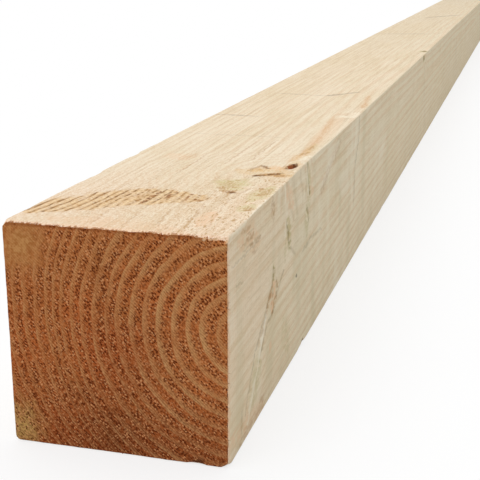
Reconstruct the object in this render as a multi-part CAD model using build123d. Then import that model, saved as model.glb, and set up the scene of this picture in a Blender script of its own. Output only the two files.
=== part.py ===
from build123d import *
import os

# One stick of square-sawn softwood, cut from a log beside the pith and crosscut at both ends.
# Millimetres. X runs across the stick, Y along it and Z up. The origin is under its middle,
# on the floor. The front end is at low Y, and left and right are as seen from the front.

# Stock size, as sold.
section_width = 100.0
section_height = 102.0
stock_length = 2400.0

# Edges: the long arrises are rubbed round, and the crosscut edges are only just broken.
arris_radius = 0.8
crosscut_break = 0.4

# Worn stretch of the top right arris, from the front end to its middle.
worn_arris_from_front = 140.0
worn_arris_length = 240.0
worn_arris_depth = 1.1

# Front end, top edge: battered down towards the right corner.
battered_edge_length = 30.0
battered_edge_depth = 1.7

# Front end, bottom edge: a notch left by a lifted fibre.
notch_from_right = 14.5
notch_length = 11.0
notch_depth = 0.9

# Top left arris: two dents from handling, from the front end to each middle.
near_dent_from_front = 100.0
far_dent_from_front = 154.0
dent_length = 16.0
dent_depth = 0.9

# Front corners broken off: how far each break reaches in from the corner, as (across, along, up).
top_left_break = (2.2, 5.0, 2.6)
bottom_left_break = (1.8, 4.0, 1.9)
bottom_right_break = (3.4, 5.0, 2.6)

# Bark pocket in the top face beside a knot. It is a lens that runs with the grain.
pocket_from_front = 145.0
pocket_from_right = 5.6
pocket_length = 17.0
pocket_width = 5.0
pocket_depth = 4.0
pocket_heading = 84.0

# Split in the top face in front of the pocket, where the grain turns round the knot.
split_from_front = 121.5
split_from_right = 12.5
split_length = 18.0
split_width = 1.8
split_depth = 3.0
split_heading = 24.0

# The floor of a pocket or split, as a share of its mouth.
floor_share = 0.35

# How far a cutter stands out of the wood.
cutter_overrun = 1.0

right_x = section_width / 2
left_x = -right_x
front_y = -stock_length / 2
top_z = section_height

towards_right = Vector(1, 0, 0)
towards_back = Vector(0, 1, 0)
upwards = Vector(0, 0, 1)


def sawn_stick():
    """The squared stick, with its long arrises rounded and its crosscut edges broken."""
    section = Rectangle(section_width, section_height, align=(Align.CENTER, Align.MIN))
    stick = extrude(Plane.XZ * section, amount=stock_length / 2, both=True)
    stick = fillet(stick.edges().filter_by(Axis.Y), arris_radius)
    return chamfer(stick.faces().filter_by(Axis.Y).edges(), crosscut_break)


def edge_scoop(middle, along, into_wood, length, depth):
    """A shallow hollow across an edge: deepest at its middle, running out at both its ends."""
    half_length = length / 2
    start = (-half_length, 0)
    finish = (half_length, 0)
    hollow = ThreePointArc(start, (0, depth), finish)
    mouth = Polyline(finish, (half_length, -cutter_overrun), (-half_length, -cutter_overrun), start)
    across = along.cross(into_wood)
    plane = Plane(origin=middle, x_dir=along, z_dir=across)
    return extrude(plane * make_face(hollow + mouth), amount=depth + cutter_overrun, both=True)


def corner_break(corner, reaches):
    """A corner broken off flat. The reaches are signed, from the corner into the wood."""
    outwards = Vector(-1 / reaches.X, -1 / reaches.Y, -1 / reaches.Z)
    plane = Plane(origin=corner + reaches / 3, z_dir=outwards)
    side = 2 * reaches.length
    return extrude(plane * Rectangle(side, side), amount=reaches.length)


def lens(length, width):
    """A pointed oval: two arcs between two tips."""
    left_tip = (-length / 2, 0)
    right_tip = (length / 2, 0)
    far_side = ThreePointArc(right_tip, (0, width / 2), left_tip)
    near_side = ThreePointArc(left_tip, (0, -width / 2), right_tip)
    return make_face(far_side + near_side)


def lens_pocket(middle, heading, length, width, depth):
    """A lens-shaped opening in the top face, its walls closing in towards the floor."""
    plane = Plane(origin=middle, x_dir=towards_right.rotate(Axis.Z, heading), z_dir=upwards)
    mouth_share = 1 + (1 - floor_share) * cutter_overrun / depth
    mouth = plane.offset(cutter_overrun) * lens(length * mouth_share, width * mouth_share)
    floor = plane.offset(-depth) * lens(length * floor_share, width * floor_share)
    return loft([mouth, floor], ruled=True)


front_top_right = Vector(right_x, front_y, top_z)
front_top_left = Vector(left_x, front_y, top_z)
front_bottom_right = Vector(right_x, front_y, 0)
front_bottom_left = Vector(left_x, front_y, 0)

in_from_top_right = (-towards_right - upwards).normalized()
in_from_top_left = (towards_right - upwards).normalized()
in_from_end_top = (towards_back - upwards).normalized()
in_from_end_bottom = (towards_back + upwards).normalized()

worn_arris = edge_scoop(
    front_top_right + towards_back * worn_arris_from_front,
    towards_back,
    in_from_top_right,
    worn_arris_length,
    worn_arris_depth,
)
near_dent = edge_scoop(
    front_top_left + towards_back * near_dent_from_front,
    towards_back,
    in_from_top_left,
    dent_length,
    dent_depth,
)
far_dent = edge_scoop(
    front_top_left + towards_back * far_dent_from_front,
    towards_back,
    in_from_top_left,
    dent_length,
    dent_depth,
)
battered_edge = edge_scoop(
    front_top_right,
    towards_right,
    in_from_end_top,
    battered_edge_length,
    battered_edge_depth,
)
notch = edge_scoop(
    front_bottom_right - towards_right * notch_from_right,
    towards_right,
    in_from_end_bottom,
    notch_length,
    notch_depth,
)

across, along, up = top_left_break
top_left_corner = corner_break(front_top_left, Vector(across, along, -up))
across, along, up = bottom_left_break
bottom_left_corner = corner_break(front_bottom_left, Vector(across, along, up))
across, along, up = bottom_right_break
bottom_right_corner = corner_break(front_bottom_right, Vector(-across, along, up))

bark_pocket = lens_pocket(
    front_top_right - towards_right * pocket_from_right + towards_back * pocket_from_front,
    pocket_heading,
    pocket_length,
    pocket_width,
    pocket_depth,
)
split = lens_pocket(
    front_top_right - towards_right * split_from_right + towards_back * split_from_front,
    split_heading,
    split_length,
    split_width,
    split_depth,
)

timber = sawn_stick()
for cutter in (worn_arris, near_dent, far_dent, battered_edge, notch):
    timber -= cutter
for cutter in (top_left_corner, bottom_left_corner, bottom_right_corner):
    timber -= cutter
for cutter in (bark_pocket, split):
    timber -= cutter

os.makedirs("parts", exist_ok=True)
export_step(timber, "parts/sawn_timber.step")
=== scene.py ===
import math

import bpy
import numpy as np
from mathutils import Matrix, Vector, noise


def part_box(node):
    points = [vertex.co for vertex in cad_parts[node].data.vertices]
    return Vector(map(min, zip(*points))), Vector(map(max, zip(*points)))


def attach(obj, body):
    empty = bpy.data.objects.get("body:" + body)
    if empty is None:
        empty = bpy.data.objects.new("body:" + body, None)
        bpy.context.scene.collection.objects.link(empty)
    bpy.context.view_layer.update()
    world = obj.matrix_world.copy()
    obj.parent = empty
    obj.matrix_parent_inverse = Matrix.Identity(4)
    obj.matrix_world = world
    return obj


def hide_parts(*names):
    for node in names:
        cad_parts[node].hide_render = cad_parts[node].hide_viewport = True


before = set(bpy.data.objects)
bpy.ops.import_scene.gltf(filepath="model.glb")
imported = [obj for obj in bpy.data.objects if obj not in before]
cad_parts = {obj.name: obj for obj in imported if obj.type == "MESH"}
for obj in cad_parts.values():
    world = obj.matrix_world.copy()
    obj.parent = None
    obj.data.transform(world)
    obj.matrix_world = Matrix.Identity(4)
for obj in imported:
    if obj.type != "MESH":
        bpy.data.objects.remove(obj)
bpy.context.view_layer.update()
low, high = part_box("sawn_timber")


# Sawn timber
# One stick of fast-grown softwood, sawn just beside the pith of its log. The band saw leaves pale,
# furry long faces, torn where it met a knot. The crosscut saw leaves brown end grain with torn edges.

front = low.y
near_length = 0.48
edge_radius = 0.0005
edge_step = 0.00025
edge_band = 0.0021
band_step = 0.0008


def grid_lines(start, finish, rest_step, *stretches):
    """Places from start to finish, close together at both edges. A stretch is how far it reaches
    from the start, and its step. What is left has the rest step."""
    length = finish - start
    first_stretches = [(edge_radius, edge_step), (edge_band, band_step)]
    last_stretches = [(length - edge_band, rest_step), (length - edge_radius, band_step)]
    lines = [0.0]
    for reach, step in (*first_stretches, *stretches, *last_stretches, (length, edge_step)):
        count = round((reach - lines[-1]) / step)
        lines.extend(np.linspace(lines[-1], reach, count + 1)[1:])
    return start + np.array(lines)


# Grid lines are closest at the arrises, near the front end and round the knot at its top right.
across = grid_lines(low.x, high.x, 0.0008, (0.074, 0.0012))
stretches = [(0.17, 0.0015), (0.34, 0.005), (near_length, 0.014), (0.9, 0.014)]
lengthwise = grid_lines(low.y, high.y, 0.04, *stretches)
upright = grid_lines(low.z, high.z, 0.0016)

# Each grid point on the outside of the stick has a number, and each side is a sheet of numbers.
number = np.full((len(across), len(lengthwise), len(upright)), -1)
skin = np.ones(number.shape, bool)
skin[1:-1, 1:-1, 1:-1] = False
number[skin] = np.arange(skin.sum())
flat = np.stack(np.meshgrid(across, lengthwise, upright, indexing="ij"), -1)[skin]


def quads(sheet):
    """The four corners of each cell of a sheet of vertex numbers."""
    corners = [sheet[:-1, :-1], sheet[1:, :-1], sheet[1:, 1:], sheet[:-1, 1:]]
    return np.stack(corners, -1).reshape(-1, 4)


# Finishes are numbered in the order in which their materials are made below.
top_finish = 0
right_finish = 1
hidden_finish = 2
end_finish = 3
sheets = {
    "top": (quads(number[:, :, -1]), top_finish),
    "right": (quads(number[-1]), right_finish),
    "bottom": (quads(number[:, :, 0])[:, ::-1], hidden_finish),
    "left": (quads(number[0])[:, ::-1], hidden_finish),
    "front end": (quads(number[:, 0]), end_finish),
    "back end": (quads(number[:, -1])[:, ::-1], end_finish),
}

# Every edge is broken to a small radius.
core = np.clip(flat, np.array(low) + edge_radius, np.array(high) - edge_radius)
outward = flat - core
outward /= np.linalg.norm(outward, axis=1, keepdims=True)
places = core + edge_radius * outward


def lumps(points, pitch, seed):
    """Smooth noise from -1 to 1, with lumps of about this pitch along X, Y and Z."""
    seed_stride = 17.3
    scaled = points / np.array(pitch) + seed_stride * seed
    return np.array([noise.noise(point) for point in scaled.tolist()])


def fade(values, start, finish):
    """0 at start, 1 at finish and smooth between."""
    share = np.clip((values - start) / (finish - start), 0, 1)
    return share * share * (3 - 2 * share)


def on_top(x, from_front):
    return (x, front + from_front, high.z)


def on_right(from_front, z):
    return (high.x, front + from_front, z)


def near_line(points, face, start, finish, half_width):
    """1 close to the line between two places on a face, falling to 0 at half its width."""
    full_share = 0.2
    line_start = np.array(face(*start))
    run = np.array(face(*finish)) - line_start
    offset = points - line_start
    share = np.clip(offset @ run / (run @ run), 0, 1)
    aside = np.linalg.norm(offset - share[:, None] * run, axis=1)
    return fade(aside / half_width, 1.0, full_share)


# Saw wander and furry fibre on the long faces, and the rough end grain, a little sunken.
saw_wander = 0.00014
fur_height = 0.00006
end_sink = 0.0001
end_roughness = 0.00016
relief = saw_wander * lumps(places, (0.03, 0.06, 0.03), 1)
relief += fur_height * lumps(places, (0.0035, 0.007, 0.0035), 2)
end_relief = end_sink + end_roughness * lumps(places, (0.0028, 0.01, 0.0028), 5)
relief -= np.abs(outward[:, 1]) * end_relief

# A slanting knot in the top face, which the saw tore into rows of scales along the grain. The rows
# lean most at the left of the patch.
torn_runs = [
    ((-0.054, 0.021), (0.004, 0.066), 0.0165),
    ((-0.030, 0.055), (0.017, 0.063), 0.0185),
]
torn_middle = 0.045
torn_sink = 0.00015
scale_pitch = 0.0042
scale_depth = 0.0005
least_lean = 0.02
most_lean = 0.12
least_lean_x = -0.012
most_lean_x = -0.042
torn = np.max([near_line(places, on_top, *torn_run) for torn_run in torn_runs], axis=0)
row_lean = least_lean + (most_lean - least_lean) * fade(places[:, 0], least_lean_x, most_lean_x)
row = (places[:, 0] - row_lean * (places[:, 1] - front - torn_middle)) / scale_pitch
groove = 0.5 + 0.5 * np.cos(math.tau * row)
unbroken = fade(lumps(places, (0.004, 0.009, 0.004), 3), -0.4, 0.4)
relief -= torn * (torn_sink + scale_depth * groove * unbroken)

# A spike knot runs down the right face: a raised line between two torn hollows. Other hollows are
# where the grain dips round the knots. Each has its start, finish, half width and rise.
swellings = [
    ((0.064, 0.047), (0.046, 0.0265), 0.0026, 0.0005),
    ((0.046, 0.0265), (0.030, 0.006), 0.0026, 0.0004),
    ((0.070, 0.052), (0.044, 0.034), 0.0030, -0.0004),
    ((0.069, 0.041), (0.049, 0.025), 0.0030, -0.0005),
    ((0.044, 0.034), (0.024, 0.008), 0.0030, -0.0003),
    ((0.080, 0.066), (0.080, 0.059), 0.0034, -0.0006),
    ((0.103, 0.099), (0.102, 0.076), 0.0030, 0.0004),
    ((0.107, 0.081), (0.114, 0.066), 0.0034, -0.0005),
    ((0.156, 0.099), (0.159, 0.080), 0.0034, 0.0004),
    ((0.162, 0.096), (0.161, 0.079), 0.0034, -0.0005),
    ((0.155, 0.077), (0.162, 0.0725), 0.0030, -0.0004),
]
for start, finish, half_width, rise in swellings:
    relief += rise * near_line(places, on_right, start, finish, half_width)
places += relief[:, None] * outward


def lens_hollow(points, from_right, from_front, heading, length, width, depth):
    """How deep a pointed oval hollow in the top face is at each point."""
    skin_depth = 0.003
    turn = math.radians(heading)
    beside = points[:, 0] - high.x + from_right
    ahead = points[:, 1] - front - from_front
    along = (beside * math.cos(turn) + ahead * math.sin(turn)) / (length / 2)
    aside = (ahead * math.cos(turn) - beside * math.sin(turn)) / (width / 2)
    room = 1 - along**2 - np.abs(aside)
    return depth * fade(room, -0.1, 0.6) * (points[:, 2] > high.z - skin_depth)


# The bark pocket and the split beside the knot.
bark_pocket = dict(from_right=0.0056, from_front=0.145, heading=84, length=0.017, width=0.005, depth=0.0024)
split = dict(from_right=0.0125, from_front=0.1215, heading=24, length=0.018, width=0.0022, depth=0.0010)
for hollow in (bark_pocket, split):
    places[:, 2] -= lens_hollow(places, **hollow)


def wear_edge(points, edge, way_out, depth):
    """Brings back to a plane whatever stands past it. The plane lies depth in from a sharp edge."""
    way = np.array(way_out) / np.linalg.norm(way_out)
    past = (points - np.array(edge)) @ way + depth
    return points - np.maximum(past, 0)[:, None] * way


def scoop(values, middle, length, depth):
    """A shallow hollow along an edge, deepest at its middle."""
    return depth * np.maximum(1 - ((values - middle) / (length / 2)) ** 2, 0)


# The saw wandered into the right face along its top arris, beside the knot.
stray_depth = 0.0005
stray_width = 0.006
stray_height = 0.02
from_front = places[:, 1] - front
strayed = stray_depth * fade(from_front, 0.03, 0.05) * fade(from_front, 0.34, 0.26)
strayed += scoop(from_front, middle=0.165, length=0.1, depth=0.0006)
strayed *= fade(places[:, 0], high.x - stray_width, high.x)
strayed *= fade(places[:, 2], high.z - stray_height, high.z)
places[:, 0] -= strayed

# The long arrises are rubbed, chipped and dented. Each has its edge, its way out and its dents, with
# their middles from the front end, lengths and depths.
rub_depth = 0.0002
rub_change = 0.00016
chip_depth = 0.0003
rubbed = rub_depth + rub_change * lumps(places, (0.008, 0.009, 0.008), 6)
rubbed += chip_depth * fade(lumps(places, (0.02, 0.03, 0.02), 7), 0.35, 0.6)
arrises = [
    ((high.x, 0, high.z), (1, 0, 1), [(0.016, 0.034, 0.0007)]),
    ((low.x, 0, high.z), (-1, 0, 1), [(0.1, 0.016, 0.0007), (0.154, 0.016, 0.0007)]),
    ((high.x, 0, low.z), (1, 0, -1), [(0.149, 0.009, 0.0006)]),
    ((low.x, 0, low.z), (-1, 0, -1), []),
]
for edge, way_out, dents in arrises:
    worn = rubbed + sum(scoop(from_front, *dent) for dent in dents)
    places = wear_edge(places, edge, way_out, worn)

# The front end's top edge is battered at the right, and its bottom edge has a notch.
battered = scoop(places[:, 0], middle=high.x, length=0.03, depth=0.0017)
places = wear_edge(places, (0, low.y, high.z), (0, -1, 1), battered)
notched = scoop(places[:, 0], middle=0.0355, length=0.011, depth=0.0009)
places = wear_edge(places, (0, low.y, low.z), (0, -1, -1), notched)


def break_corner(points, corner, reaches):
    """Breaks a corner off flat. The reaches are signed, from the corner into the wood."""
    way_out = [-1 / reach for reach in reaches]
    return wear_edge(points, corner, way_out, 1 / np.linalg.norm(way_out))


places = break_corner(places, (low.x, low.y, high.z), (0.0022, 0.005, -0.0026))
places = break_corner(places, (low.x, low.y, low.z), (0.0018, 0.004, 0.0019))
places = break_corner(places, (high.x, low.y, low.z), (-0.0034, 0.005, 0.0026))

# The crosscut saw leaves the front end's top edge uneven.
jag_height = 0.0004
jag_sink = 0.0002
jag_creep = 0.0003
at_edge = fade(from_front, 0.0024, 0.0) * fade(high.z - flat[:, 2], 0.003, 0.0)
places[:, 2] += at_edge * (jag_height * lumps(flat, (0.005, 0.01, 0.01), 8) - jag_sink)
places[:, 1] -= at_edge * jag_creep * lumps(flat, (0.004, 0.01, 0.01), 9)

# Torn fibres stand up along the edges of both ends: each one a thin spike with three sides. An edge
# has its start, its finish, the way its fibres stand and how many there are.
chance = np.random.default_rng(11)
fibre_edges = [
    ((low.x + 0.003, low.y, high.z), (high.x - 0.001, low.y, high.z), (0, 0.1, 1), 26),
    ((high.x, low.y, low.z + 0.004), (high.x, low.y, high.z - 0.003), (1, 0.1, 0), 16),
    ((low.x + 0.003, low.y, low.z), (high.x - 0.004, low.y, low.z), (0, -1, 0.1), 14),
    ((low.x, high.y, high.z), (high.x, high.y, high.z), (0, 0.5, 1), 40),
    ((high.x, high.y, low.z + 0.002), (high.x, high.y, high.z), (1, 0.5, 0), 24),
    ((low.x, high.y, low.z + 0.002), (low.x, high.y, high.z), (-1, 0.5, 0), 24),
]
fibre_bend = 0.45
foot_depth = 0.0007
foot_inset = 0.0005
least_girth = 0.0001
girth_change = 0.0002
least_length = 0.0010
length_change = 0.0009
end_coloured_share = 0.6
fibre_places = []
for start, finish, way_up, count in fibre_edges:
    upward = Vector(way_up).normalized()
    for _ in range(count):
        root = Vector(start).lerp(Vector(finish), chance.random())
        way = (upward + Vector(chance.normal(0, fibre_bend, 3))).normalized()
        foot = root - foot_depth * upward
        foot.y += foot_inset if root.y < 0 else -foot_inset
        side = way.orthogonal().normalized() * (least_girth + girth_change * chance.random())
        other = way.cross(side)
        fibre_places += [foot + side, foot - 0.5 * side + other, foot - 0.5 * side - other]
        fibre_places.append(foot + way * (least_length + length_change * chance.random()))
fibres = np.array([tuple(place) for place in fibre_places])
fibres[:, 2] = np.maximum(fibres[:, 2], low.z)
fibre_first = len(places) + 4 * np.arange(len(fibres) // 4)
fibre_sides = np.array([(0, 1, 3), (1, 2, 3), (2, 0, 3)])
fibre_cells = (fibre_first[:, None, None] + fibre_sides).reshape(-1, 3)
is_end_coloured = np.repeat(chance.random(len(fibre_first)) < end_coloured_share, len(fibre_sides))

cells = np.concatenate([sheet for sheet, _ in sheets.values()])
cell_finish = [np.full(len(sheet), finish) for sheet, finish in sheets.values()]
cell_finish.append(np.where(is_end_coloured, end_finish, hidden_finish))

mesh = bpy.data.meshes.new("sawn_timber")
mesh.from_pydata(np.concatenate([places, fibres]).tolist(), [], cells.tolist() + fibre_cells.tolist())
timber = bpy.data.objects.new("timber", mesh)
bpy.context.scene.collection.objects.link(timber)
mesh.polygons.foreach_set("material_index", np.concatenate(cell_finish).astype(np.int32))
mesh.shade_smooth()
mesh.set_sharp_from_angle(angle=math.radians(50))

# Flat chart of the skin: the two ends and the fibres, then the near length of each long face, two to
# a row, then the rest of each long face. The near length gets twice the room of the rest.
chart_margin = 0.008
end_side = 0.39
back_end_left = 0.408
near_bottom = 0.41
near_pitch = 0.104
near_width = 0.484
near_height = 0.094
far_bottom = 0.622
far_pitch = 0.094
far_width = 0.984
far_height = 0.086
chart = []
for order, (name, (sheet, _)) in enumerate(sheets.items()):
    corners = flat[sheet]
    shares = (corners - np.array(low)) / np.array(high - low)
    if name in ("front end", "back end"):
        left_edge = chart_margin if name == "front end" else back_end_left
        end_u = left_edge + end_side * shares[..., 0]
        end_v = chart_margin + end_side * shares[..., 2]
        chart.append(np.stack([end_u, end_v], -1))
        continue
    side_share = shares[..., 0 if name in ("top", "bottom") else 2]
    distance = corners[..., 1] - front
    is_near = distance.mean(axis=1, keepdims=True) < near_length
    near_u = chart_margin + 0.5 * (order % 2) + near_width * distance / near_length
    near_v = near_bottom + near_pitch * (order // 2) + near_height * side_share
    far_u = chart_margin + far_width * (distance - near_length) / (high.y - front - near_length)
    far_v = far_bottom + far_pitch * order + far_height * side_share
    chart.append(np.stack([np.where(is_near, near_u, far_u), np.where(is_near, near_v, far_v)], -1))
fibre_left = 0.812
fibre_bottom = 0.01
fibre_pitch = 0.0088
fibres_a_row = 20
fibre_shape = np.array([(0, 0), (0.006, 0), (0.003, 0.006)])
fibre_number = np.arange(len(fibre_cells))
fibre_u = fibre_left + fibre_pitch * (fibre_number % fibres_a_row)
fibre_v = fibre_bottom + fibre_pitch * (fibre_number // fibres_a_row)
fibre_chart = np.stack([fibre_u, fibre_v], -1)[:, None, :] + fibre_shape
loops = np.concatenate([np.concatenate(chart).reshape(-1, 2), fibre_chart.reshape(-1, 2)])
mesh.uv_layers.new(name="OFBake").data.foreach_set("uv", loops.ravel())


def tone(red, green, blue):
    """A colour as it is seen, from 0 to 255 a channel, as the shader wants it."""
    shares = [channel / 255 for channel in (red, green, blue)]
    linear = [s / 12.92 if s < 0.04045 else ((s + 0.055) / 1.055) ** 2.4 for s in shares]
    return (*linear, 1.0)


def add_node(tree, kind, inputs, **settings):
    """A shader node. An input is a number, a colour or another node's output."""
    node = tree.nodes.new("ShaderNode" + kind)
    for name, value in settings.items():
        setattr(node, name, value)
    for name, value in inputs.items():
        if isinstance(value, bpy.types.NodeSocket):
            tree.links.new(value, node.inputs[name])
        else:
            node.inputs[name].default_value = value
    return node


def tree_of(*values):
    """The node tree that the outputs among some values stand in."""
    return next(value.id_data for value in values if isinstance(value, bpy.types.NodeSocket))


def maths(operation, *values):
    return add_node(tree_of(*values), "Math", dict(enumerate(values)), operation=operation).outputs[0]


def product(value, *factors):
    for factor in factors:
        value = maths("MULTIPLY", value, factor)
    return value


def arrows(operation, *values):
    """Vector arithmetic. Lengths and dot products come out as numbers."""
    node = add_node(tree_of(*values), "VectorMath", dict(enumerate(values)), operation=operation)
    return node.outputs["Value" if operation in ("LENGTH", "DOT_PRODUCT") else "Vector"]


def stretched(arrow, scale):
    """A vector times a number."""
    inputs = {"Vector": arrow, "Scale": scale}
    return add_node(tree_of(arrow), "VectorMath", inputs, operation="SCALE").outputs["Vector"]


def parts_of(place):
    """The X, Y and Z of a place."""
    return add_node(tree_of(place), "SeparateXYZ", {0: place}).outputs


def place_at(*parts):
    """The place with this X, Y and Z."""
    return add_node(tree_of(*parts), "CombineXYZ", dict(enumerate(parts))).outputs[0]


def ease(value, start, finish, first=0.0, last=1.0):
    """Goes smoothly from first to last while the value goes from start to finish."""
    inputs = {"Value": value, "From Min": start, "From Max": finish, "To Min": first, "To Max": last}
    node = add_node(tree_of(value), "MapRange", inputs, interpolation_type="SMOOTHSTEP")
    return node.outputs["Result"]


def mottle(place, pitch, detail=2.0, rough=0.5):
    """Noise from 0 to 1, with lumps of about this pitch in metres along X, Y and Z."""
    scaled = arrows("DIVIDE", place, pitch)
    inputs = {"Vector": scaled, "Scale": 1.0, "Detail": detail, "Roughness": rough}
    return add_node(tree_of(place), "TexNoise", inputs).outputs["Fac"]


def waver(place, pitch, detail=2.0):
    """The same noise, from -0.5 to 0.5."""
    return maths("SUBTRACT", mottle(place, pitch, detail), 0.5)


def waves(value, rate, shiver, shiver_rate):
    """Waves from -1 to 1 along a value, pushed to and fro by a shiver."""
    return maths("SINE", maths("MULTIPLY_ADD", value, rate, product(shiver, shiver_rate)))


def tint(colour, towards, *shares):
    """A colour moved towards another by the product of the shares."""
    share = product(*shares)
    # A Mix node's inputs 6 and 7 and its output 2 are the colours.
    inputs = {0: share, 6: colour, 7: towards}
    return add_node(tree_of(share, colour, towards), "Mix", inputs, data_type="RGBA").outputs[2]


def vary(colour, pattern, share, dark, pale):
    """A colour darkened where a pattern is high and paled where it is low. Dark and pale each say where
    they start, where they are full, their strength there and their tone."""
    for start, full, strength, towards in (dark, pale):
        colour = tint(colour, towards, ease(pattern, start, full, 0.0, strength), share)
    return colour


def new_group(name, inputs, outputs):
    """An empty node group, with the sockets that go in and come out."""
    group = bpy.data.node_groups.new(name, "ShaderNodeTree")
    for socket, kind in inputs.items():
        group.interface.new_socket(socket, in_out="INPUT", socket_type="NodeSocket" + kind)
    for socket, kind in outputs.items():
        group.interface.new_socket(socket, in_out="OUTPUT", socket_type="NodeSocket" + kind)
    return group, group.nodes.new("NodeGroupInput").outputs, group.nodes.new("NodeGroupOutput").inputs


def put_out(made, **values):
    """Links values inside a group to the sockets that come out of it."""
    for socket, value in values.items():
        value.id_data.links.new(value, made[socket])


def use_group(group, inputs):
    return add_node(tree_of(*inputs.values()), "Group", inputs, node_tree=group).outputs


# The rings of the log. The outer edge of each year's growth is measured from the pith, which
# runs just outside the right face.
pith = Vector((0.057, front, 0.061))
ring_radii = (
    0.0055, 0.0118, 0.0190, 0.0252, 0.0318, 0.0384, 0.0446, 0.0504, 0.0567, 0.0611, 0.0671, 0.0727,
    0.0773, 0.0821, 0.0855, 0.0890, 0.0943, 0.0994, 0.1041, 0.1086, 0.1130, 0.1172, 0.1214, 0.1255,
)
ring_strengths = (
    0.60, 0.85, 1.00, 0.75, 0.85, 1.00, 0.70, 1.00, 0.75, 0.75, 1.00, 0.80,
    1.00, 0.80, 0.90, 1.00, 0.80, 0.90, 0.80, 0.85, 0.80, 0.75, 0.65, 0.65,
)
growth, given, made = new_group(
    "growth rings",
    {"Place": "Vector", "Push": "Float"},
    {"Early": "Float", "Late": "Float", "Edge": "Float", "Strength": "Float"},
)
place = given["Place"]
spot = parts_of(place)
along = maths("SUBTRACT", spot["Y"], front)
# The log was not quite straight: its pith climbs behind the front end, and sways.
sway = product(waver(place, (0.9, 0.55, 0.9)), ease(along, 0.03, 0.5), 0.007)
climb = ease(along, -0.1, 0.45, -0.0013, 0.0139)
pith_x = maths("ADD", maths("MULTIPLY_ADD", along, 0.002, pith.x), sway)
pith_z = maths("SUBTRACT", maths("ADD", climb, pith.z), sway)
beside = maths("SUBTRACT", spot["X"], pith_x)
above = maths("SUBTRACT", spot["Z"], pith_z)
radius = arrows("LENGTH", place_at(beside, 0.0, above))
# The log is a little out of round, most of all in its outer rings.
oval = product(above, -0.065, ease(radius, 0.075, 0.1))
ripple = product(waver(place, (0.016, 0.25, 0.016)), 0.0026)
radius = maths("ADD", maths("ADD", radius, oval), ripple)
radius = maths("SUBTRACT", radius, given["Push"])


def curve_through(value, points):
    """A curve of straight stretches from 0,0 to 1,1 through points."""
    node = add_node(tree_of(value), "FloatCurve", {"Value": value})
    curve = node.mapping.curves[0]
    for point in points:
        curve.points.new(*point)
    for point in curve.points:
        point.handle_type = "VECTOR"
    node.mapping.update()
    return node.outputs[0]


ring_count = len(ring_radii)
outer_radius = ring_radii[-1]
ring_ends = [(ring / outer_radius, (count + 1) / ring_count) for count, ring in enumerate(ring_radii[:-1])]
year = curve_through(maths("DIVIDE", radius, outer_radius), ring_ends)
late_points = [((count + 0.85) / ring_count, strength) for count, strength in enumerate(ring_strengths)]
strength = curve_through(year, late_points)
# Wide early cells give way slowly to latewood, which stops at the winter line.
season = maths("FRACT", maths("MULTIPLY_ADD", year, ring_count, -0.08))
frayed = maths("MULTIPLY_ADD", waver(place, (0.0014, 0.03, 0.0014), 3.0), 0.5, season)
late = product(ease(frayed, 0.36, 0.80), ease(season, 1.0, 0.9))
winter = product(ease(season, 0.76, 0.88), ease(season, 1.0, 0.92))
put_out(made, Early=ease(frayed, 0.92, 0.40), Late=late, Edge=winter, Strength=strength)

# A branch is a cone with its tip at the pith. Reach is 0 on its axis and 1 on its bark, and Push is
# how far it moves the rings out.
branch, given, made = new_group(
    "branch",
    {"Place": "Vector", "Foot": "Vector", "Heading": "Vector", "Root": "Float", "Flare": "Float"},
    {"Reach": "Float", "Knot": "Float", "Push": "Float"},
)
offset = arrows("SUBTRACT", given["Place"], given["Foot"])
distance = arrows("DOT_PRODUCT", offset, given["Heading"])
on_axis = stretched(given["Heading"], distance)
aside = arrows("LENGTH", arrows("SUBTRACT", offset, on_axis))
outgrown = maths("MAXIMUM", distance, 0.0)
girth = maths("MULTIPLY_ADD", outgrown, given["Flare"], given["Root"])
knobbly = waver(given["Place"], (0.009, 0.012, 0.009), 3.0)
reach = maths("MULTIPLY_ADD", knobbly, 0.55, maths("DIVIDE", aside, girth))
reach = maths("ADD", reach, ease(distance, 0.022, 0.010, 0.0, 9.0))
put_out(made, Reach=reach, Knot=ease(reach, 1.08, 0.9), Push=product(ease(reach, 2.6, 0.8), girth))

# Each branch: where it leaves the pith, from the front end, the way it grows, its width and flare.
branches = {
    "torn": (0.083, (-69, -35, 40), 0.0095, 0.03),
    "spike": (0.088, (-3, -58, -62), 0.0055, 0.02),
    "arris": (0.142, (-14, -9, 43), 0.003, 0.42),
    "far": (0.850, (-8, -33, 41), 0.003, 0.12),
    "left": (0.100, (-107, -48, -14), 0.004, 0.07),
    "under": (0.860, (-50, -36, -61), 0.004, 0.09),
    "far left": (1.480, (-107, -40, 12), 0.004, 0.08),
    "far under": (1.960, (-38, -30, -61), 0.004, 0.07),
}


def grow(place, *names):
    """The named branches at a place, and how far they move the rings together."""
    grown = {}
    push = 0.0
    for name in names:
        from_end, heading, root, flare = branches[name]
        foot = Vector((pith.x, front + from_end, pith.z))
        way = Vector(heading).normalized()
        inputs = {"Place": place, "Foot": foot, "Heading": way, "Root": root, "Flare": flare}
        grown[name] = use_group(branch, inputs)
        push = maths("ADD", push, grown[name]["Push"])
    return grown, push


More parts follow.
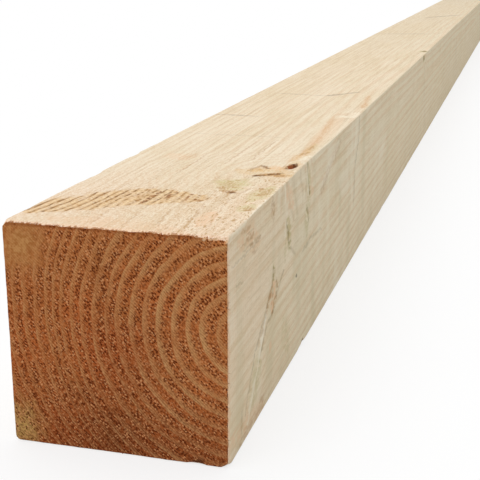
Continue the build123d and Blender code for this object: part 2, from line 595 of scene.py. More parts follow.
# A stroke is a soft line between two places: a crack, a stain or the mark of a stopped saw. It
# tapers at both ends.
stroke, given, made = new_group(
    "stroke",
    {"Place": "Vector", "Start": "Vector", "Finish": "Vector", "Half width": "Float"},
    {"Mask": "Float"},
)
run = arrows("SUBTRACT", given["Finish"], given["Start"])
offset = arrows("SUBTRACT", given["Place"], given["Start"])
advance = arrows("DOT_PRODUCT", offset, run)
share = maths("DIVIDE", advance, arrows("DOT_PRODUCT", run, run))
share = maths("MINIMUM", maths("MAXIMUM", share, 0.0), 1.0)
on_line = stretched(run, share)
aside = arrows("LENGTH", arrows("SUBTRACT", offset, on_line))
from_middle = product(maths("SUBTRACT", share, 0.5), 2.0)
taper = maths("SUBTRACT", 1.0, product(maths("POWER", from_middle, 2.0), 0.6))
softness = maths("DIVIDE", aside, product(given["Half width"], taper))
put_out(made, Mask=ease(softness, 1.0, 0.25))


def drawn(place, face, strokes):
    """The strongest of several strokes on a face, each with its start, finish, half width and strength."""
    strongest = 0.0
    for start, finish, half_width, strength in strokes:
        inputs = {"Place": place, "Start": face(*start), "Finish": face(*finish), "Half width": half_width}
        mask = use_group(stroke, inputs)["Mask"]
        strongest = maths("MAXIMUM", strongest, product(mask, strength))
    return strongest


# A shaken place is moved a little to and fro, so that what is drawn there looks torn.
shake, given, made = new_group("shake", {"Place": "Vector", "Amount": "Vector"}, {"Place": "Vector"})
inputs = {"Vector": given["Place"], "Scale": 260.0, "Detail": 3.0}
jitter = arrows("SUBTRACT", add_node(shake, "TexNoise", inputs).outputs["Color"], (0.5, 0.5, 0.5))
put_out(made, Place=arrows("MULTIPLY_ADD", jitter, given["Amount"], given["Place"]))

# The bare sawn face: pinkish near the front end and yellower behind, with faint rings, furry fibre
# and the fine ridges that the band saw's teeth leave across it. Curl is how far brown fibre ends
# lap over from the crosscut ends.
tooth_pitch = 0.0033
sawn, given, made = new_group(
    "sawn wood",
    {"Place": "Vector", "Push": "Float", "Curl": "Float", "Ring": "Float", "Grain": "Float"},
    {"Colour": "Color", "Height": "Float", "Fur": "Float"},
)
place = given["Place"]
rough = given["Grain"]
spot = parts_of(place)
rings = use_group(growth, {"Place": place, "Push": given["Push"]})
along = maths("SUBTRACT", spot["Y"], front)
colour = tint(tone(243, 217, 188), tone(240, 223, 195), ease(along, 0.03, 0.15))
colour = tint(colour, tone(232, 217, 189), ease(along, 0.4, 1.2))
cloud = ease(mottle(place, (0.03, 0.12, 0.03), 3.0), 0.4, 0.7)
colour = tint(colour, tone(228, 209, 172), cloud, 0.45)
colour = tint(colour, tone(224, 188, 146), rings["Late"], rings["Strength"], given["Ring"])
streak = mottle(place, (0.0011, 0.045, 0.0011), 3.0, 0.6)
dark_streak = (0.5, 0.70, 0.45, tone(200, 170, 126))
pale_streak = (0.5, 0.30, 0.40, tone(252, 241, 221))
colour = vary(colour, streak, rough, dark_streak, pale_streak)
fibre = mottle(place, (0.0009, 0.0036, 0.0009), 3.0, 0.7)
dark_fibre = (0.52, 0.75, 0.55, tone(194, 160, 116))
pale_fibre = (0.48, 0.28, 0.45, tone(255, 247, 232))
colour = vary(colour, fibre, rough, dark_fibre, pale_fibre)
grain_line = mottle(place, (0.0036, 0.2, 0.0036), 3.0, 0.6)
dark_line = (0.52, 0.72, 0.34, tone(206, 178, 138))
pale_line = (0.48, 0.28, 0.30, tone(252, 242, 222))
colour = vary(colour, grain_line, rough, dark_line, pale_line)
slant = maths("MULTIPLY_ADD", spot["Z"], 0.07, spot["Y"])
slant = maths("MULTIPLY_ADD", spot["X"], 0.10, slant)
tooth = waves(slant, math.tau / tooth_pitch, mottle(place, (0.03, 0.02, 0.03)), 9.0)
colour = tint(colour, tone(205, 178, 138), ease(tooth, 0.2, 1.0, 0.0, 0.10))
tuft = mottle(place, (0.0044, 0.01, 0.0044), 3.0)
tuft = maths("ADD", tuft, mottle(place, (0.0012, 0.004, 0.0012)))
to_end = maths("MINIMUM", along, maths("SUBTRACT", high.y, spot["Y"]))
lap = product(maths("MULTIPLY_ADD", tuft, 0.006, -0.0056), given["Curl"])
lapped = ease(maths("SUBTRACT", to_end, lap), 0.0006, 0.0)
colour = tint(colour, tone(248, 208, 178), ease(to_end, 0.0040, 0.0010, 0.0, 0.55))
colour = tint(colour, tone(168, 108, 62), lapped)
height = maths("MULTIPLY_ADD", fibre, -0.16, product(streak, -0.16))
height = maths("MULTIPLY_ADD", tooth, 0.03, height)
put_out(made, Colour=colour, Height=height, Fur=fibre)


def new_finish(name, shine):
    material = bpy.data.materials.new(name)
    material.use_nodes = True
    mesh.materials.append(material)
    tree = material.node_tree
    surface = tree.nodes["Principled BSDF"]
    surface.inputs["Specular IOR Level"].default_value = shine
    return surface, add_node(tree, "TexCoord", {}).outputs["Object"]


def lay_finish(surface, colour, height, depth, fur):
    """Puts a colour, a height in shares of depth and a roughness on a surface."""
    tree = surface.id_data
    tree.links.new(colour, surface.inputs["Base Color"])
    bump = add_node(tree, "Bump", {"Height": height, "Strength": 0.8, "Distance": depth})
    tree.links.new(bump.outputs[0], surface.inputs["Normal"])
    tree.links.new(ease(fur, 0.3, 0.7, 0.92, 0.78), surface.inputs["Roughness"])


# Top face.
sawn_shine = 0.25
sawn_depth = 0.001
surface, place = new_finish("sawn top", sawn_shine)
spot = parts_of(place)
_, push = grow(place, "arris", "torn", "far")
wood = use_group(sawn, {"Place": place, "Push": push, "Curl": 1.0, "Ring": 0.40, "Grain": 0.85})
pressed = place_at(spot["X"], spot["Y"], high.z)
shaken = use_group(shake, {"Place": pressed, "Amount": (0.004, 0.008, 0.0)})["Place"]
patchy = ease(mottle(place, (0.0010, 0.0032, 0.0010), 3.0), 0.34, 0.60, 0.28, 1.0)

# Rings that come out in the top face near the front end and turn towards the knot. The soft early
# wood outside each line stands up in a pale ridge.
ring_lines = [
    ((0.0374, 0.0127), (0.0334, 0.0500)),
    ((0.0334, 0.0500), (0.0329, 0.0682)),
    ((0.0329, 0.0682), (0.0354, 0.0889)),
    ((0.0168, 0.0069), (0.0121, 0.0409)),
    ((0.0292, 0.0024), (0.0236, 0.0539)),
    ((-0.0119, 0.0060), (-0.0128, 0.0300)),
    ((0.0027, 0.0035), (0.0009, 0.0308)),
    ((0.0070, 0.1390), (0.0066, 0.2150)),
    ((-0.0256, 0.0640), (-0.0254, 0.0920)),
    ((-0.0100, 0.1100), (-0.0105, 0.1700)),
    ((0.0180, 0.1500), (0.0172, 0.2200)),
]
ridge_offset = 0.0018
ridge_lines = [[(x + ridge_offset, y) for x, y in line] for line in ring_lines]
ridge_strokes = [(*line, 0.0017, 0.26) for line in ridge_lines]
line_strokes = [(*line, 0.0008, 0.42) for line in ring_lines]
colour = tint(wood["Colour"], tone(255, 244, 224), drawn(shaken, on_top, ridge_strokes))
colour = tint(colour, tone(192, 146, 98), drawn(shaken, on_top, line_strokes))

# Short torn fibres speckle the face, most of all near the front end.
speckle = mottle(place, (0.0006, 0.0018, 0.0006))
near_end = ease(spot["Y"], front + 0.03, front + 0.2, 1.0, 0.35)
dark_speckle = (0.53, 0.70, 0.50, tone(206, 164, 118))
pale_speckle = (0.47, 0.30, 0.55, tone(255, 248, 234))
colour = vary(colour, speckle, near_end, dark_speckle, pale_speckle)

# Green where sap has dried beside the knot, pink where resin has soaked sound wood, golden and
# brown where the knot has coloured it.
green_stains = [
    ((0.0195, 0.0990), (0.0290, 0.0955), 0.0175, 0.58),
    ((0.0235, 0.0885), (0.0300, 0.0850), 0.0110, 0.50),
    ((0.0425, 0.0640), (0.0455, 0.0940), 0.0075, 0.52),
    ((0.0430, 0.0440), (0.0455, 0.0560), 0.0060, 0.50),
    ((0.0430, 0.1880), (0.0430, 0.2120), 0.0045, 0.45),
    ((0.0460, 0.8350), (0.0455, 0.8500), 0.0090, 0.80),
]
pink_stains = [
    ((0.0340, 0.1370), (0.0400, 0.1400), 0.0110, 0.60),
    ((-0.0190, 0.1480), (-0.0300, 0.1620), 0.0110, 0.28),
    ((0.0328, 0.0152), (0.0327, 0.0397), 0.0065, 0.60),
    ((0.0300, 0.0020), (-0.0300, 0.0100), 0.0160, 0.35),
    ((0.0430, 0.1900), (0.0400, 0.3200), 0.0080, 0.30),
]
golden_stains = [
    ((0.0400, 0.1200), (0.0490, 0.1220), 0.0090, 0.55),
    ((0.0340, 0.1200), (0.0450, 0.1235), 0.0080, 0.70),
    ((0.0275, 0.1310), (0.0430, 0.1290), 0.0190, 0.42),
    ((0.0255, 0.1290), (0.0340, 0.1320), 0.0100, 0.75),
    ((0.0420, 0.1400), (0.0440, 0.1580), 0.0050, 0.40),
    ((0.0410, 0.1600), (0.0440, 0.1900), 0.0050, 0.42),
    ((0.0200, 0.1285), (0.0330, 0.1240), 0.0130, 0.42),
]
brown_stains = [
    ((0.0390, 0.1190), (0.0470, 0.1210), 0.0044, 0.70),
    ((0.0300, 0.1160), (0.0400, 0.1245), 0.0046, 0.75),
    ((0.0242, 0.1267), (0.0263, 0.1420), 0.0022, 0.55),
    ((0.0263, 0.1430), (0.0332, 0.1356), 0.0026, 0.75),
    ((0.0265, 0.1340), (0.0310, 0.1310), 0.0028, 0.30),
    ((0.0410, 0.1380), (0.0430, 0.1500), 0.0034, 0.70),
    ((0.0410, 0.1760), (0.0440, 0.1880), 0.0024, 0.60),
    ((0.0430, 0.1940), (0.0425, 0.2060), 0.0024, 0.50),
    ((0.0238, 0.0800), (0.0262, 0.0804), 0.0056, 0.80),
    ((0.0275, 0.0772), (0.0305, 0.0768), 0.0058, 0.95),
    ((0.0250, 0.0860), (0.0220, 0.1000), 0.0050, 0.35),
    ((0.0412, 0.0870), (0.0412, 0.0910), 0.0030, 0.70),
    ((0.0428, 0.0735), (0.0436, 0.0770), 0.0028, 0.70),
    ((0.0452, 0.0450), (0.0466, 0.0500), 0.0028, 0.70),
    ((0.0200, 0.0850), (0.0240, 0.0855), 0.0030, 0.60),
    ((0.0250, 0.1030), (0.0262, 0.1045), 0.0032, 0.60),
    ((0.0262, 0.0880), (0.0282, 0.0890), 0.0028, 0.55),
    ((0.0440, 0.0740), (0.0458, 0.0900), 0.0036, 0.50),
]
tan_stains = [
    ((0.0388, 0.1537), (0.0412, 0.1811), 0.0034, 0.42),
    ((0.0412, 0.1811), (0.0418, 0.2004), 0.0034, 0.60),
    ((0.0418, 0.2004), (0.0404, 0.2460), 0.0028, 0.55),
    ((0.0404, 0.2460), (0.0331, 0.3294), 0.0034, 0.50),
    ((0.0340, 0.3294), (0.0470, 0.3380), 0.0090, 0.28),
    ((0.0463, 0.3684), (0.0451, 0.3953), 0.0036, 0.70),
    ((0.0451, 0.3953), (0.0414, 0.4357), 0.0036, 0.55),
]
for x in (-0.0152, -0.0172, -0.0193, -0.0215):
    tan_stains.append(((x, 0.146), (x, 0.165), 0.0011, 0.42))
dark_lines = [
    # The first two lines are painted shade inside the split beside the knot.
    ((0.0302, 0.1160), (0.0362, 0.1210), 0.0030, 0.95),
    ((0.0350, 0.1206), (0.0425, 0.1255), 0.0018, 0.62),
    ((0.0265, 0.1446), (0.0332, 0.1356), 0.0016, 0.50),
    ((0.0242, 0.1267), (0.0263, 0.1430), 0.0016, 0.15),
    ((0.0282, 0.0766), (0.0306, 0.0770), 0.0040, 0.78),
    ((0.0412, 0.1400), (0.0430, 0.1355), 0.0013, 0.60),
    ((0.0460, 0.8370), (0.0460, 0.8490), 0.0055, 0.60),
    ((-0.050, 0.3100), (-0.018, 0.3085), 0.0036, 0.26),
    ((0.0310, 0.4560), (0.0200, 0.4420), 0.0036, 0.30),
    ((0.0210, 0.4430), (0.0080, 0.4260), 0.0042, 0.34),
    ((0.0090, 0.4270), (-0.0340, 0.4320), 0.0028, 0.18),
    ((0.020, 0.2290), (-0.045, 0.2310), 0.0024, 0.10),
    ((-0.043, 1.106), (0.027, 1.126), 0.006, 0.32),
    ((-0.020, 1.520), (0.037, 1.637), 0.008, 0.30),
]
stains = [
    (green_stains, tone(204, 192, 126)),
    (pink_stains, tone(240, 198, 158)),
    (tan_stains, tone(216, 168, 116)),
    (golden_stains, tone(228, 186, 120)),
    (brown_stains, tone(182, 130, 70)),
]
for strokes, stain in stains:
    colour = tint(colour, stain, drawn(shaken, on_top, strokes), patchy)
dark = drawn(shaken, on_top, dark_lines)
colour = tint(colour, tone(104, 62, 18), dark)
bark = drawn(shaken, on_top, [((0.0432, 0.1415), (0.0443, 0.1500), 0.0038, 1.0)])
bark = ease(bark, 0.30, 0.60)
colour = tint(colour, tone(150, 84, 42), bark)
bark_rim = drawn(shaken, on_top, [((0.0424, 0.1500), (0.0446, 0.1520), 0.0014, 0.80)])
colour = tint(colour, tone(96, 52, 22), bark_rim)
pale_chips_and_arris_highlight = [
    ((0.0470, 0.3200), (0.0465, 0.3450), 0.0060, 0.70),
    ((0.0385, 0.3250), (0.0450, 0.3200), 0.0080, 0.65),
    ((0.0440, 0.1620), (0.0470, 0.1760), 0.0030, 0.60),
    # The last stroke is a painted highlight along the worn right arris.
    ((0.0496, 0.0270), (0.0496, 0.0900), 0.0016, 0.80),
]
colour = tint(colour, tone(253, 242, 220), drawn(shaken, on_top, pale_chips_and_arris_highlight), patchy)

# Orange specks where the knot's fibres come out, near the front of the right arris.
speck = ease(mottle(place, (0.0011, 0.0038, 0.0011)), 0.58, 0.66)
near_arris = ease(spot["X"], 0.006, 0.030)
near_front = ease(spot["Y"], front + 0.16, front + 0.10)
colour = tint(colour, tone(190, 148, 92), speck, near_arris, near_front, 0.72)

# Tear-out on the slanting knot: brown lines where the saw lifted the grain, broken into scales.
torn_strokes = [(start, finish, 1.25 * half_width, 1.0) for start, finish, half_width in torn_runs]
ragged = waver(place, (0.005, 0.012, 0.005), 3.0)
patch = maths("MULTIPLY_ADD", ragged, 0.9, drawn(shaken, on_top, torn_strokes))
patch = ease(patch, 0.10, 0.65)
row_lean = ease(spot["X"], least_lean_x, most_lean_x, least_lean, most_lean)
slope = product(maths("SUBTRACT", spot["Y"], front + torn_middle), row_lean)
row = maths("DIVIDE", maths("SUBTRACT", spot["X"], slope), scale_pitch)
row = maths("MULTIPLY_ADD", waver(place, (0.010, 0.030, 0.010)), 1.2, row)
across_row = maths("PINGPONG", row, 0.5)
unbroken = ease(mottle(place, (0.0023, 0.0034, 0.0023), 3.0), 0.38, 0.56)
unbroken = maths("MAXIMUM", unbroken, ease(spot["X"], -0.008, -0.032, 0.0, 0.58))
fainter_right = ease(spot["X"], -0.002, 0.014, 1.0, 0.65)
scales = product(ease(across_row, 0.24, 0.03), unbroken, patch, fainter_right)
ridge_highlights = product(ease(across_row, 0.26, 0.46), patch)
spots = ease(mottle(place, (0.0016, 0.0030, 0.0016)), 0.44, 0.60)
beads = ease(mottle(place, (0.0017, 0.0022, 0.0017)), 0.40, 0.60)
hollows = maths("SUBTRACT", patch, beads)
colour = tint(colour, tone(230, 186, 124), patch, ease(ragged, -0.25, 0.2, 0.16, 0.52))
# Painted highlights on the ridges between the rows of scales.
colour = tint(colour, tone(250, 224, 178), ridge_highlights, beads, 0.7)
colour = tint(colour, tone(198, 150, 88), hollows, 0.32)
colour = tint(colour, tone(180, 130, 68), scales, 0.90)
colour = tint(colour, tone(118, 78, 36), scales, spots, 0.70)
deep_tears = [
    ((0.0030, 0.0520), (0.0030, 0.0730), 0.0017, 0.62),
    ((-0.0050, 0.0430), (-0.0045, 0.0720), 0.0017, 0.65),
    ((0.0200, 0.0550), (0.0170, 0.0640), 0.0020, 0.55),
    ((0.0130, 0.0560), (0.0120, 0.0720), 0.0016, 0.45),
    ((-0.0100, 0.0560), (-0.0100, 0.0780), 0.0014, 0.45),
]
deep = product(drawn(shaken, on_top, deep_tears), unbroken)
colour = tint(colour, tone(166, 102, 44), deep)
colour = tint(colour, tone(112, 64, 24), deep, spots)

height = maths("MULTIPLY_ADD", scales, -0.5, wood["Height"])
height = maths("MULTIPLY_ADD", maths("MAXIMUM", dark, bark), -0.5, height)
lay_finish(surface, colour, height, sawn_depth, wood["Fur"])

# Right side.
surface, place = new_finish("sawn right side", sawn_shine)
spot = parts_of(place)
grown, push = grow(place, "arris", "spike", "far")
grain_here = ease(spot["Y"], front + 0.15, front + 0.6, 0.95, 0.85)
wood = use_group(sawn, {"Place": place, "Push": push, "Curl": 0.4, "Ring": 0.75, "Grain": grain_here})
pressed = place_at(high.x, spot["Y"], spot["Z"])
shaken = use_group(shake, {"Place": pressed, "Amount": (0.0, 0.006, 0.004)})["Place"]
patchy = ease(mottle(place, (0.002, 0.005, 0.002), 3.0), 0.30, 0.62)

# This side has weathered a little greener than the top. The grain flows round the knot at the arris.
colour = tint(wood["Colour"], tone(244, 232, 197), 0.30)
wash = mottle(place, (0.5, 0.026, 0.10))
near_end = ease(spot["Y"], front + 0.2, front + 0.6, 1.0, 0.3)
dark_wash = (0.5, 0.70, 0.40, tone(212, 199, 162))
pale_wash = (0.5, 0.30, 0.44, tone(246, 237, 212))
colour = vary(colour, wash, near_end, dark_wash, pale_wash)
arris_reach = grown["arris"]["Reach"]
flow = waves(arris_reach, 9.0, mottle(place, (0.02, 0.02, 0.02)), 6.0)
near_knot = ease(arris_reach, 2.6, 1.0)
dark_flow = (0.2, 1.0, 0.15, tone(168, 146, 100))
pale_flow = (-0.2, -1.0, 0.18, tone(250, 240, 216))
colour = vary(colour, flow, near_knot, dark_flow, pale_flow)

# Stains and lines round the spike knot, the knots at the arris and the marks of the saw.
green_stains = [
    ((0.1085, 0.0820), (0.1142, 0.0665), 0.0095, 0.60),
    ((0.1600, 0.1000), (0.1612, 0.0793), 0.0100, 0.50),
    ((0.1547, 0.0771), (0.1560, 0.0620), 0.0090, 0.50),
    ((0.0802, 0.0660), (0.0803, 0.0600), 0.0045, 0.60),
    ((0.0550, 0.0330), (0.0360, 0.0100), 0.0120, 0.50),
    ((0.1000, 0.0300), (0.1120, 0.0120), 0.0120, 0.35),
    ((0.1109, 0.0816), (0.1047, 0.0727), 0.0045, 0.40),
    ((0.1047, 0.0727), (0.1031, 0.0616), 0.0045, 0.40),
    ((0.7930, 0.0985), (0.8090, 0.0975), 0.0065, 0.80),
]
pink_stains = [
    ((0.0805, 0.0565), (0.0755, 0.0450), 0.0090, 0.85),
    ((0.0155, 0.0950), (0.0466, 0.0923), 0.0070, 0.55),
    ((0.1050, 0.0980), (0.1212, 0.0869), 0.0090, 0.60),
    ((0.1640, 0.0870), (0.1710, 0.0830), 0.0060, 0.40),
    ((0.0240, 0.0980), (0.0500, 0.0870), 0.0110, 0.35),
    ((0.0720, 0.0280), (0.0760, 0.0260), 0.0050, 0.50),
    ((0.0010, 0.0100), (0.0600, 0.0030), 0.0080, 0.45),
    ((0.0010, 0.0050), (0.0010, 0.0970), 0.0030, 0.60),
]
brown_stains = [
    ((0.0771, 0.1010), (0.0785, 0.0900), 0.0050, 0.60),
    ((0.0790, 0.0610), (0.0662, 0.0472), 0.0036, 0.85),
    ((0.0839, 0.0591), (0.0870, 0.0525), 0.0032, 0.70),
    ((0.0870, 0.0525), (0.0763, 0.0426), 0.0032, 0.75),
    ((0.0200, 0.0985), (0.0370, 0.0975), 0.0020, 0.45),
    ((0.0280, 0.0935), (0.0440, 0.0925), 0.0018, 0.50),
    ((0.0330, 0.0895), (0.0530, 0.0880), 0.0020, 0.55),
    ((0.0380, 0.0850), (0.0470, 0.0840), 0.0018, 0.40),
    ((0.0538, 0.0077), (0.0620, 0.0020), 0.0060, 0.50),
    ((0.0180, 0.0020), (0.0600, 0.0030), 0.0050, 0.35),
    ((0.2617, 0.0966), (0.2277, 0.0890), 0.0065, 0.35),
    ((0.2277, 0.0890), (0.1900, 0.0756), 0.0055, 0.40),
    ((0.1470, 0.0010), (0.1510, 0.0010), 0.0034, 0.95),
]
pale_lines_and_arris_highlight = [
    # The first line is a painted highlight along the worn top arris, near the front end.
    ((0.0040, 0.1010), (0.0300, 0.1010), 0.0020, 0.40),
    ((0.1028, 0.1000), (0.1023, 0.0752), 0.0024, 0.35),
    ((0.0640, 0.0470), (0.0457, 0.0265), 0.0024, 0.75),
    ((0.0457, 0.0265), (0.0300, 0.0060), 0.0026, 0.55),
    ((0.1560, 0.0990), (0.1590, 0.0800), 0.0026, 0.50),
    ((0.1520, 0.0760), (0.1570, 0.0690), 0.0020, 0.40),
    ((0.3240, 0.0950), (0.3070, 0.0641), 0.0045, 0.35),
    ((0.3070, 0.0641), (0.3110, 0.0401), 0.0045, 0.35),
    ((0.2540, 0.0966), (0.1960, 0.0810), 0.0045, 0.35),
    ((0.2600, 0.0700), (0.2950, 0.0600), 0.0150, 0.30),
    ((0.4858, 0.0623), (0.4416, 0.0447), 0.0090, 0.28),
]
dark_lines = [
    ((0.0802, 0.0652), (0.0803, 0.0600), 0.0038, 0.52),
    ((0.0800, 0.0600), (0.0760, 0.0480), 0.0018, 0.40),
    ((0.1011, 0.0580), (0.0925, 0.0543), 0.0016, 0.38),
    ((0.0925, 0.0543), (0.0843, 0.0492), 0.0016, 0.30),
    ((0.0233, 0.0897), (0.0539, 0.0885), 0.0010, 0.22),
    ((0.0290, 0.0955), (0.0420, 0.0945), 0.0009, 0.26),
    ((0.0200, 0.0930), (0.0400, 0.0915), 0.0009, 0.24),
    ((0.0824, 0.0448), (0.0690, 0.0410), 0.0018, 0.35),
    ((0.0690, 0.0410), (0.0490, 0.0250), 0.0024, 0.38),
    ((0.0700, 0.0520), (0.0441, 0.0337), 0.0024, 0.34),
    ((0.0441, 0.0337), (0.0280, 0.0120), 0.0019, 0.28),
    ((0.1591, 0.1015), (0.1622, 0.0914), 0.0023, 0.42),
    ((0.1622, 0.0914), (0.1612, 0.0793), 0.0023, 0.50),
    ((0.1547, 0.0771), (0.1618, 0.0725), 0.0020, 0.50),
    ((0.1618, 0.0725), (0.1576, 0.0678), 0.0020, 0.36),
    ((0.1701, 0.0577), (0.1435, 0.0550), 0.0020, 0.32),
    ((0.2000, 0.0539), (0.1702, 0.0567), 0.0018, 0.24),
    ((0.1076, 0.0810), (0.1142, 0.0665), 0.0026, 0.56),
    ((0.1142, 0.0665), (0.1275, 0.0585), 0.0020, 0.26),
    ((0.0066, 0.0878), (0.0533, 0.0871), 0.0010, 0.28),
    ((0.0119, 0.0774), (0.0243, 0.0763), 0.0010, 0.32),
    ((0.0219, 0.0170), (0.0219, 0.0061), 0.0032, 0.26),
    ((0.3335, 0.1000), (0.3337, 0.0878), 0.0045, 0.22),
    ((0.3337, 0.0878), (0.3268, 0.0782), 0.0042, 0.26),
    ((0.3268, 0.0782), (0.3199, 0.0687), 0.0042, 0.28),
    ((0.3199, 0.0687), (0.3180, 0.0401), 0.0042, 0.24),
    ((0.8148, 0.0900), (0.8411, 0.0210), 0.0140, 0.07),
    ((1.3575, 0.0763), (1.3969, 0.0310), 0.0160, 0.09),
    ((0.7930, 0.0990), (0.8090, 0.0975), 0.0050, 0.70),
]
black_spots = [
    ((0.1285, 0.0455), (0.1325, 0.0446), 0.0014, 0.60),
    ((0.1470, 0.0008), (0.1510, 0.0008), 0.0026, 0.90),
]
stains = [
    (green_stains, tone(196, 182, 124)),
    (pink_stains, tone(238, 196, 154)),
    (brown_stains, tone(184, 144, 98)),
]
for strokes, stain in stains:
    colour = tint(colour, stain, drawn(shaken, on_right, strokes), patchy)
colour = tint(colour, tone(253, 243, 221), drawn(shaken, on_right, pale_lines_and_arris_highlight))
dark = drawn(shaken, on_right, dark_lines)
colour = tint(colour, tone(132, 106, 62), dark, maths("MULTIPLY_ADD", patchy, 0.5, 0.42))
colour = tint(colour, tone(72, 50, 30), drawn(shaken, on_right, black_spots))
height = maths("MULTIPLY_ADD", dark, -0.5, wood["Height"])
lay_finish(surface, colour, height, sawn_depth, wood["Fur"])

# Left side and underside, with sound knots, each in a darker line.
surface, place = new_finish("sawn hidden sides", sawn_shine)
grown, push = grow(place, "left", "under", "far left", "far under")
wood = use_group(sawn, {"Place": place, "Push": push, "Curl": 0.8, "Ring": 0.42, "Grain": 1.0})
colour = wood["Colour"]
rims = 0.0
for branch_here in grown.values():
    knot = branch_here["Knot"]
    rim = product(knot, ease(branch_here["Reach"], 0.55, 1.0))
    years = maths("SINE", product(branch_here["Reach"], 26.0))
    colour = tint(colour, tone(204, 142, 82), knot, 0.78)
    colour = tint(colour, tone(150, 98, 56), knot, ease(years, 0.0, 1.0, 0.0, 0.3))
    colour = tint(colour, tone(116, 72, 40), rim, 0.7)
    rims = maths("MAXIMUM", rims, rim)
height = maths("MULTIPLY_ADD", rims, -0.3, wood["Height"])
lay_finish(surface, colour, height, sawn_depth, wood["Fur"])

# End grain: smooth tan latewood between rough, reddish early wood that the saw tore into pits.
end_shine = 0.06
end_depth = 0.0006
surface, place = new_finish("end grain", end_shine)
spot = parts_of(place)
rings = use_group(growth, {"Place": place, "Push": 0.0})


def on_end(x, z):
    return (x, front, z)


def end_patch(place, x, z, size):
    """1 in the middle of a patch of the front end, 0 outside it."""
    offset = arrows("SUBTRACT", place, on_end(x, z))
    torn_edge = mottle(place, (0.006, 0.5, 0.006), 3.0)
    distance = maths("MULTIPLY_ADD", torn_edge, size, arrows("LENGTH", offset))
    return ease(distance, 1.7 * size, 0.6 * size)


# Smooth sapwood at the top left corner, resin at the bottom left, a damp band at the bottom, redder
# heartwood in the middle and shade in the notch.
smooth = end_patch(place, -0.043, 0.092, 0.0150)
resin = end_patch(place, -0.051, 0.006, 0.0170)
damp = end_patch(place, -0.002, 0.004, 0.0250)
heart = end_patch(place, 0.002, 0.044, 0.0260)
notch = end_patch(place, 0.0366, 0.0, 0.0042)
bare = maths("SUBTRACT", 1.0, smooth)

veil = ease(mottle(place, (0.010, 0.5, 0.010), 3.0), 0.32, 0.60, 0.45, 1.0)
clearer_above = ease(spot["Z"], 0.02, 0.085, 0.90, 1.0)
strength = product(rings["Strength"], veil, bare, clearer_above)
late = product(rings["Late"], strength)
cloud = ease(mottle(place, (0.022, 0.5, 0.022), 3.0), 0.3, 0.7)
early = tint(tone(176, 93, 44), tone(168, 96, 48), cloud)
hard = tint(tone(180, 116, 66), tone(193, 150, 99), ease(spot["X"], -0.02, 0.04))
colour = tint(early, hard, late, 0.95)
colour = tint(colour, tone(200, 132, 74), ease(spot["X"], 0.0, 0.05, 0.0, 0.20))
colour = tint(colour, tone(196, 126, 70), ease(spot["Z"], 0.06, 0.102, 0.0, 0.22))
colour = tint(colour, tone(122, 40, 1), ease(spot["Z"], 0.045, 0.0, 0.0, 0.52))
colour = tint(colour, tone(142, 56, 14), heart, 0.40)
sap_grain = mottle(place, (0.0016, 0.5, 0.0016), 3.0, 0.7)
sap = tint(tone(162, 108, 57), tone(198, 152, 94), ease(sap_grain, 0.35, 0.65))
colour = tint(colour, sap, smooth, 0.72)
colour = tint(colour, tone(194, 162, 94), resin, 0.80)
colour = tint(colour, tone(98, 44, 10), damp, 0.42)
smudges = [
    ((-0.025, 0.036), (-0.001, 0.002), 0.011, 0.30),
    ((-0.007, 0.096), (-0.003, 0.040), 0.006, 0.18),
]
colour = tint(colour, tone(98, 60, 30), drawn(place, on_end, smudges), cloud)
colour = tint(colour, tone(44, 26, 14), notch, 0.85)

# The crosscut saw scratches the end on a slant, which shows on the hard latewood. A pale line of
# the last cells ends each year.
scratch_pitch = 0.0014
slant = maths("ADD", spot["X"], spot["Z"])
shiver = mottle(place, (0.006, 0.5, 0.006), 3.0)
scratch = waves(slant, math.tau / scratch_pitch, shiver, 12.0)
shown = maths("MULTIPLY_ADD", late, 0.7, 0.3)
dark_scratch = (0.1, 1.0, 0.40, tone(130, 76, 34))
pale_scratch = (-0.1, -1.0, 0.30, tone(214, 166, 116))
colour = vary(colour, scratch, shown, dark_scratch, pale_scratch)
ragged = ease(mottle(place, (0.0030, 0.5, 0.0030), 3.0), 0.38, 0.62)
colour = tint(colour, tone(208, 158, 106), rings["Edge"], strength, ragged, 0.55)

# Torn early cells: dark pits, most of them just outside each winter line, and lifted pale crumbs.
least_torn = ease(spot["Z"], 0.06, 0.01, 0.22, 0.50)
torn_cells = maths("MAXIMUM", ease(rings["Early"], 0.05, 1.0), least_torn)
clumps = ease(mottle(place, (0.0045, 0.5, 0.0045)), 0.34, 0.58, 0.50, 1.0)
torn_cells = product(torn_cells, bare, clumps)
down_slant = product(maths("SUBTRACT", spot["X"], spot["Z"]), 0.46)
up_slant = product(slant, 0.75)
slanted = place_at(down_slant, up_slant, 0.0)


def stipple(place, pitch, missing_share):
    """Small spots about a pitch apart, some of them missing."""
    inputs = {"Vector": place, "Scale": 1.0 / pitch}
    tree = tree_of(place)
    cell = add_node(tree, "TexVoronoi", inputs, voronoi_dimensions="2D").outputs
    chosen = add_node(tree, "SeparateColor", {0: cell["Color"]}).outputs[0]
    chosen = ease(chosen, missing_share, missing_share + 0.2)
    return product(ease(cell["Distance"], 0.55, 0.22), chosen)


# The saw's grit marks the whole end with finer, slanting flecks.
grit = mottle(slanted, (0.00075, 0.0007, 1.0), 2.0, 0.6)
gritty = product(bare, ease(late, 0.0, 1.0, 1.0, 0.45))
dark_grit = (0.52, 0.70, 0.62, tone(98, 42, 12))
pale_grit = (0.48, 0.32, 0.45, tone(216, 152, 104))
colour = vary(colour, grit, gritty, dark_grit, pale_grit)
# The pits are torn, darker cells, and their darkness is partly painted shade inside them.
shaded_pits = product(stipple(slanted, 0.00092, 0.12), torn_cells)
crumbs = product(stipple(slanted, 0.00086, 0.58), torn_cells)
colour = tint(colour, tone(90, 34, 6), shaded_pits, 0.92)
colour = tint(colour, tone(224, 158, 106), crumbs, 0.85)

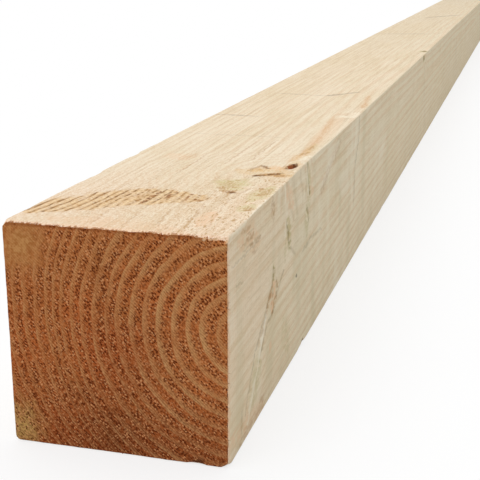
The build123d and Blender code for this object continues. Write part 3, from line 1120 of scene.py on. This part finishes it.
# Pale fibre shows through along the top edge, most of all where it is battered.
to_top = maths("SUBTRACT", high.z, spot["Z"])
colour = tint(colour, tone(122, 58, 22), ease(to_top, 0.0022, 0.0008, 0.0, 0.45))
tuft = mottle(place, (0.0022, 0.01, 0.0022), 3.0)
bared = maths("MULTIPLY_ADD", tuft, -0.0065, maths("ADD", to_top, 0.0038))
bared = maths("SUBTRACT", bared, ease(spot["X"], 0.028, 0.050, 0.0, 0.0026))
colour = tint(colour, tone(236, 196, 154), ease(bared, 0.0004, -0.0002, 0.0, 0.7))

height = maths("MULTIPLY_ADD", late, 0.10, product(scratch, 0.05))
height = maths("MULTIPLY_ADD", shaded_pits, -0.5, height)
height = maths("MULTIPLY_ADD", crumbs, 0.35, height)
lay_finish(surface, colour, height, end_depth, late)

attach(timber, "root")
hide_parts("sawn_timber")


# Studio
# A pale floor that shows white to the camera and keeps the stick's soft shadow close to it, a broad
# lamp overhead, a smaller one in front and an even white surround.

white = (1.0, 1.0, 1.0, 1.0)
grey = (0.7, 0.7, 0.7, 1.0)
floor_reach = 30.0
floor_gap = 0.0004
shadow_reach = 0.16
shadow_glow = 0.74
surround_light = 0.6


def shown_rays(tree):
    """1 for rays that show a surface in the picture: straight, in a gloss or through glass."""
    ray = add_node(tree, "LightPath", {}).outputs
    indirect = maths("MAXIMUM", ray["Is Glossy Ray"], ray["Is Transmission Ray"])
    return maths("MAXIMUM", ray["Is Camera Ray"], indirect)


floor_mesh = bpy.data.meshes.new("floor")
floor_corners = [(-1, -1), (1, -1), (1, 1), (-1, 1)]
floor_places = [(floor_reach * x, floor_reach * y, low.z - floor_gap) for x, y in floor_corners]
floor_mesh.from_pydata(floor_places, [], [(0, 1, 2, 3)])
floor = bpy.data.objects.new("floor", floor_mesh)
bpy.context.scene.collection.objects.link(floor)
floor_paint = bpy.data.materials.new("floor paint")
floor_paint.use_nodes = True
floor_mesh.materials.append(floor_paint)
tree = floor_paint.node_tree
tree.nodes.remove(tree.nodes["Principled BSDF"])
paint = add_node(tree, "BsdfDiffuse", {"Color": grey}).outputs[0]
lit = add_node(tree, "BsdfDiffuse", {"Color": white}).outputs[0]
glowing = add_node(tree, "Emission", {"Color": white, "Strength": 1.0}).outputs[0]
place = add_node(tree, "TexCoord", {}).outputs["Object"]
beyond = arrows("SUBTRACT", arrows("ABSOLUTE", place), Vector(high))
beyond = arrows("LENGTH", arrows("MAXIMUM", beyond, (0, 0, 0)))
glow = ease(beyond, 0.0, shadow_reach, shadow_glow, 1.0)
seen = add_node(tree, "MixShader", {0: glow, 1: lit, 2: glowing}).outputs[0]
cover = add_node(tree, "MixShader", {0: shown_rays(tree), 1: paint, 2: seen}).outputs[0]
tree.links.new(cover, tree.nodes["Material Output"].inputs["Surface"])

world = bpy.data.worlds.new("white surround")
bpy.context.scene.world = world
world.use_nodes = True
tree = world.node_tree
backdrop = tree.nodes["Background"]
backdrop.inputs["Color"].default_value = white
tree.links.new(ease(shown_rays(tree), 0.0, 1.0, surround_light, 1.0), backdrop.inputs["Strength"])


def soft_lamp(name, place, aim, side, watts):
    """A square lamp that points at a place."""
    lamp = bpy.data.lights.new(name, "AREA")
    lamp.size = side
    lamp.energy = watts
    holder = bpy.data.objects.new(name, lamp)
    holder.location = place
    holder.rotation_euler = (Vector(aim) - Vector(place)).to_track_quat("-Z", "Y").to_euler()
    bpy.context.scene.collection.objects.link(holder)


soft_lamp("overhead", (-0.6, -0.2, 3.0), aim=(0.0, 0.0, 0.0), side=4.0, watts=50.0)
soft_lamp("front", (-1.2, -3.6, 1.4), aim=(0.0, -1.1, 0.05), side=2.0, watts=18.0)

camera = bpy.data.cameras.new("camera")
camera.sensor_width = 36.0
camera.lens = 74.749
camera.clip_start = 0.01
camera_pitch = -15.8725
camera_yaw = 15.6005
viewpoint = bpy.data.objects.new("camera", camera)
viewpoint.location = (0.15749, front - 0.36648, 0.20988)
viewpoint.rotation_euler = (math.radians(90.0 + camera_pitch), 0.0, math.radians(camera_yaw))
bpy.context.scene.collection.objects.link(viewpoint)
bpy.context.scene.camera = viewpoint
bpy.context.scene.view_settings.view_transform = "Standard"
